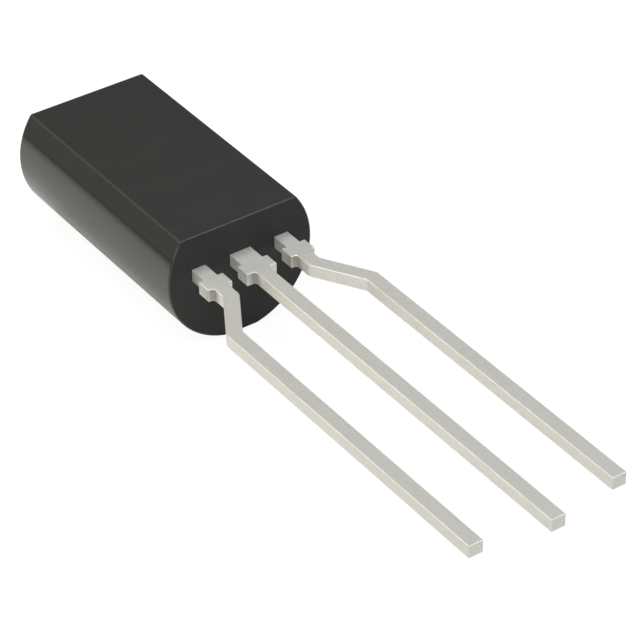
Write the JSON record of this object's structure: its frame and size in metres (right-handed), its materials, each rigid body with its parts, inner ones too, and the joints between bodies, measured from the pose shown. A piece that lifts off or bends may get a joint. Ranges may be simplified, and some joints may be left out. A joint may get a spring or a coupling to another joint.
{
  "type": "triac",
  "caption": "Small through-hole triac: a long D-shaped black epoxy body, with flat tinned leads whose outer pair is formed outwards to a wider pitch.",
  "frame": {"origin": "on the surface that the back lies on, under the middle of the whole length from lead tips to the body's far end", "axes": "+Z out of the body's flat, +Y from the lead tips to the body, +X across the leads from main terminal 1 to the gate"},
  "size_m": [0.005, 0.0226, 0.0038],
  "materials": {
    "epoxy": "moulded, fine satin texture",
    "tinned_copper": "matt tin plate over copper alloy",
    "silicon": "polished silicon with bright metal contacts",
    "solder": "dull soft solder",
    "bond_wire": "drawn aluminium wire"
  },
  "bodies": {
    "root": {"body": "epoxy", "lead_mt1": "tinned_copper", "lead_mt2": "tinned_copper", "lead_gate": "tinned_copper", "chip": "silicon", "die_solder": "solder", "wire_mt1": "bond_wire", "wire_gate": "bond_wire"}
  },
  "joints": []
}
